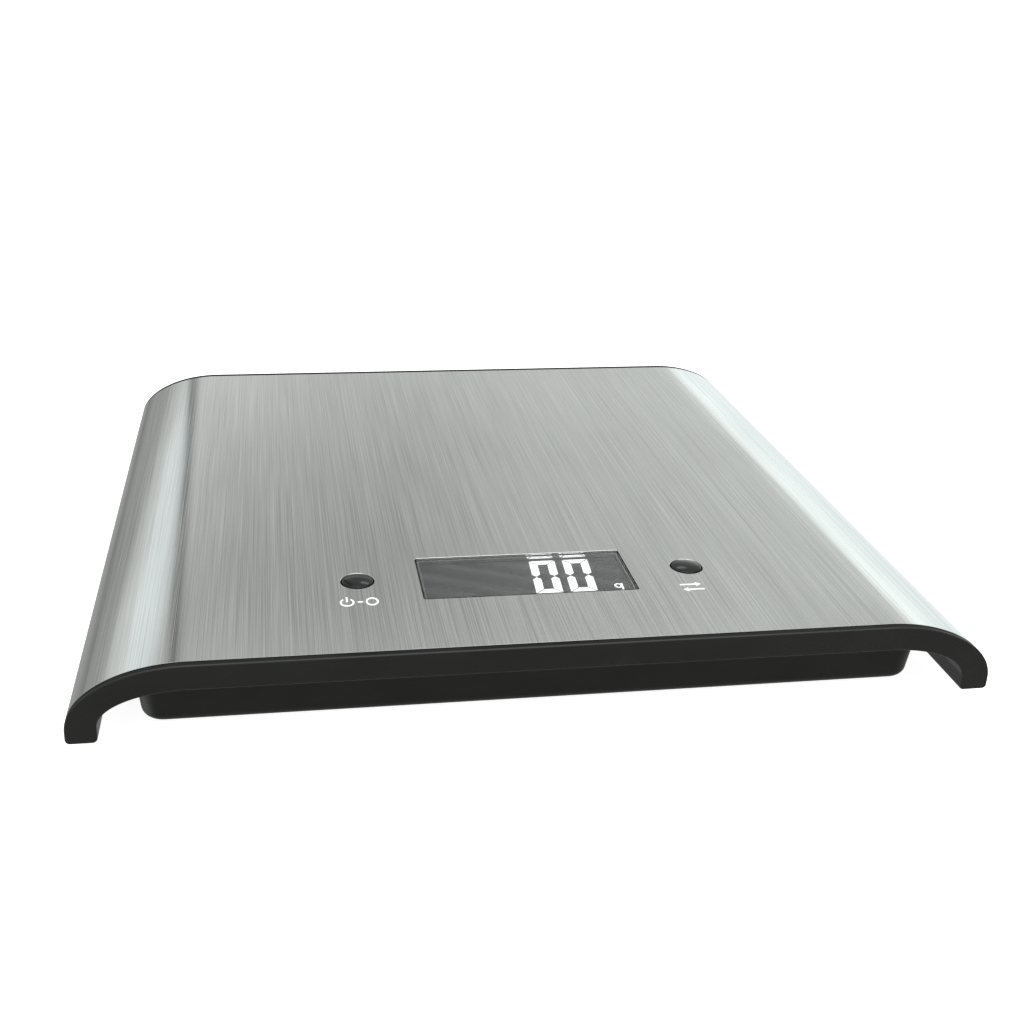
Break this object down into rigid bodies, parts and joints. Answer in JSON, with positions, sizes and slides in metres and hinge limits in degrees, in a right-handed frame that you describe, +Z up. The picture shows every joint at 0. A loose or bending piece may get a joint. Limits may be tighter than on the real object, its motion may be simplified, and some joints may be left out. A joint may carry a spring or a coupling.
{
  "type": "kitchen scale",
  "caption": "Flat kitchen scale with an arched brushed steel platform, a digital display, two push buttons and a black base tray.",
  "frame": {"origin": "middle of the footprint on the surface that the feet stand on", "axes": "+X to the right seen from the front, +Y to the back, +Z up"},
  "size_m": [0.228, 0.212, 0.0234],
  "materials": {
    "brushed_steel": "stainless sheet brushed from front to back",
    "black_plastic": "black moulded plastic, satin",
    "clear_window": "clear polished acrylic",
    "lcd_glass": "dark display glass with a polariser",
    "rubber": "matt rubber",
    "white_plastic": "white moulded plastic",
    "dark_plastic": "black moulding compound",
    "circuit_board": "green solder mask on glass fibre",
    "aluminium": "milled",
    "plated_steel": "bright nickel plating",
    "black_wire": "smooth insulation",
    "red_wire": "smooth insulation",
    "grey_wire": "smooth insulation"
  },
  "bodies": {
    "base": {"base_tray": "black_plastic", "foot_front_left": "rubber", "foot_front_right": "rubber", "foot_back_left": "rubber", "foot_back_right": "rubber", "load_cell": "aluminium", "cell_screw_back_1": "plated_steel", "cell_screw_back_2": "plated_steel", "coin_cell": "plated_steel", "battery_contact_centre": "plated_steel", "battery_contact_rim": "plated_steel"},
    "door": {"battery_door": "black_plastic"},
    "platform": {"platform_frame": "black_plastic", "steel_cover": "brushed_steel", "display_lens": "clear_window", "lcd_panel": "lcd_glass", "backlight_guide": "white_plastic", "lcd_contact_strip": "rubber", "lcd_holder": "white_plastic", "circuit_board": "circuit_board", "board_screw_1": "plated_steel", "board_screw_2": "plated_steel", "board_screw_3": "plated_steel", "board_screw_4": "plated_steel", "control_chip": "dark_plastic", "cell_cable_socket": "white_plastic", "on_zero_switch": "dark_plastic", "unit_switch": "dark_plastic", "platform_plate": "plated_steel", "plate_screw_1": "plated_steel", "plate_screw_2": "plated_steel", "plate_screw_3": "plated_steel", "plate_screw_4": "plated_steel", "cell_screw_front_1": "plated_steel", "cell_screw_front_2": "plated_steel", "load_cell_cable": "grey_wire", "battery_wire_black": "black_wire", "battery_wire_red": "red_wire"},
    "on_zero": {"on_zero_button": "black_plastic", "on_zero_switch_plunger": "white_plastic"},
    "unit": {"unit_button": "black_plastic", "unit_switch_plunger": "white_plastic"}
  },
  "joints": [
    {"name": "platform_sink", "type": "slide", "parent": "base", "child": "platform", "axis": [0, 0, 1], "range_m": [-0.0005, 0], "stiffness_N_per_m": 20000, "springref_m": 0.0004},
    {"name": "on_zero_press", "type": "slide", "parent": "platform", "child": "on_zero", "axis": [0, 0, 1], "range_m": [-0.0008, 0], "stiffness_N_per_m": 600, "springref_m": 0.0004},
    {"name": "unit_press", "type": "slide", "parent": "platform", "child": "unit", "axis": [0, 0, 1], "range_m": [-0.0008, 0], "stiffness_N_per_m": 600, "springref_m": 0.0004},
    {"name": "door_hinge", "type": "hinge", "parent": "base", "child": "door", "pos_m": [0.045, 0.025, 0.002], "axis": [-1, 0, 0], "range_deg": [0, 75]}
  ]
}
